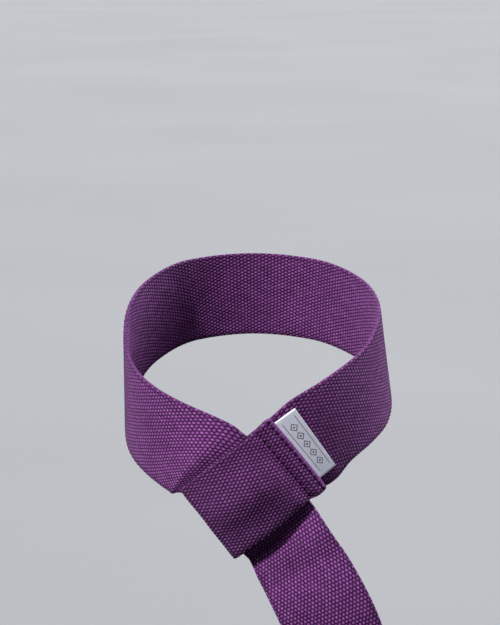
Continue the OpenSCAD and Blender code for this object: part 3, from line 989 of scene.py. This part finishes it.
def tie_material():
    m = Nodes("ribbed_elastic")
    uv = m.new("ShaderNodeUVMap")
    uv.uv_map = "cloth"
    sep = m.new("ShaderNodeSeparateXYZ")
    m.link(uv.outputs[0], sep.inputs[0])
    a = m.math("MULTIPLY", sep.outputs[0], 1000.0)
    b = m.math("MULTIPLY", sep.outputs[1], 1000.0)
    knit = m.math("SINE", m.math("ADD", m.math("MULTIPLY", a, 2 * math.pi / 0.75), m.math("MULTIPLY", m.math("SINE", m.math("MULTIPLY", b, 4.5)), 0.8)))
    rib = m.math("COSINE", m.math("MULTIPLY", b, 13 * math.pi / 4.5))
    n = m.noise(m.combine(m.math("MULTIPLY", a, 1.5), m.math("MULTIPLY", b, 2.5)), 1.0, 2.0)
    k = m.math("ADD", m.math("ADD", m.math("MULTIPLY", knit, 0.25), m.math("MULTIPLY", rib, 0.35)), n)
    colour = m.mix(m.range(k, -0.1, 1.1, 0.0, 1.0), (0.016, 0.010, 0.020, 1), (0.105, 0.070, 0.120, 1))
    m.link(colour, m.bsdf.inputs["Base Color"])
    m.link(m.range(k, 0.0, 1.0, 0.85, 0.6), m.bsdf.inputs["Roughness"])
    m.bsdf.inputs["Sheen Weight"].default_value = 0.25
    bump = m.new("ShaderNodeBump")
    bump.inputs["Strength"].default_value = 0.7
    bump.inputs["Distance"].default_value = 0.0002
    m.link(k, bump.inputs["Height"])
    m.link(bump.outputs[0], m.bsdf.inputs["Normal"])
    return m.mat


cloth, thread, satin, elastic = webbing_material(), thread_material(), label_material(), tie_material()
for ob, mat in (
    (strap, cloth), (hang, cloth), (outer_thread, thread), (inner_thread, thread),
    (far_outer, thread), (far_inner, thread), (label, satin), (tie, elastic),
):
    ob.data.materials.append(mat)

# ---------------------------------------------------------------- bodies
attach(strap, "noose")
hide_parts("noose_band", "sewn_loop")
for ob, node in ((outer_thread, "loop_seam_outer_thread"), (inner_thread, "loop_seam_inner_thread")):
    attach(ob, "noose")
    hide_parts(node)
for ob, node in ((far_outer, "far_seam_outer_thread"), (far_inner, "far_seam_inner_thread")):
    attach(ob, "tail")
    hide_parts(node)
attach(label, "label_flap")
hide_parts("label")
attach(tie, "tie")
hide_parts("storage_tie")
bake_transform(hang)
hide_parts("running_webbing", "tail_webbing", "strap_hank", "far_loop")

print("lengths mm", round(noose_len, 1), round(hang_len, 1), "tail", round(L_TAIL, 1), "front", round(L_FRONT, 1), "seam", round(L_SEAM, 1))

# ---------------------------------------------------------------- stage and light
floor_me = bpy.data.meshes.new("floor")
S = 60.0
floor_me.from_pydata([(-S, -S, 0), (S, -S, 0), (S, S, 0), (-S, S, 0)], [], [(0, 1, 2, 3)])
floor = bpy.data.objects.new("floor", floor_me)
floor.location = (0, 0, cad_box[0][2] - 0.03)
scene.collection.objects.link(floor)
floor.visible_diffuse = False      # the sky, not the floor, fills the shadows
fm = Nodes("pale_floor")
fn = fm.noise(fm.new("ShaderNodeTexCoord").outputs["Object"], 0.8, 3.0)
fm.link(fm.mix(fn, (0.156, 0.160, 0.170, 1), (0.190, 0.193, 0.202, 1)), fm.bsdf.inputs["Base Color"])
fm.bsdf.inputs["Roughness"].default_value = 0.9
fm.bsdf.inputs["Specular IOR Level"].default_value = 0.1
floor_me.materials.append(fm.mat)

world = bpy.data.worlds.new("world")
scene.world = world
world.use_nodes = True
wt = world.node_tree
bg = wt.nodes["Background"]
bg.inputs[0].default_value = (0.90, 0.94, 1.0, 1)
bg.inputs[1].default_value = 0.10
# past the floor's edge the studio's paper sweep shows, as pale as the floor
paper = wt.nodes.new("ShaderNodeBackground")
paper.inputs[0].default_value = (0.515, 0.533, 0.571, 1)
paper.inputs[1].default_value = 1.0
direct = wt.nodes.new("ShaderNodeLightPath")
sweep = wt.nodes.new("ShaderNodeMixShader")
wt.links.new(direct.outputs["Is Camera Ray"], sweep.inputs[0])
wt.links.new(bg.outputs[0], sweep.inputs[1])
wt.links.new(paper.outputs[0], sweep.inputs[2])
wt.links.new(sweep.outputs[0], wt.nodes["World Output"].inputs[0])


def sun(name, energy, angle, az, el, colour=(1, 1, 1)):
    d = bpy.data.lights.new(name, "SUN")
    d.energy, d.angle, d.color = energy, math.radians(angle), colour
    ob = bpy.data.objects.new(name, d)
    a, e = math.radians(az), math.radians(el)
    towards = Vector((math.cos(e) * math.sin(a), -math.cos(e) * math.cos(a), math.sin(e)))
    ob.rotation_euler = towards.to_track_quat("Z", "Y").to_euler()
    scene.collection.objects.link(ob)


sun("key", 5.6, 4, -52, 50, (1.0, 0.99, 0.975))
sun("top_sky", 1.2, 40, -20, 68, (0.97, 0.985, 1.0))
sun("left_sky", 0.6, 60, -100, 30, (0.96, 0.98, 1.0))
sun("right_sky", 4.0, 30, 110, 26, (0.96, 0.98, 1.0))
sun("back_sky", 2.4, 60, 172, 35, (0.96, 0.98, 1.0))
scene.view_settings.view_transform = "Standard"
scene.view_settings.look = "None"
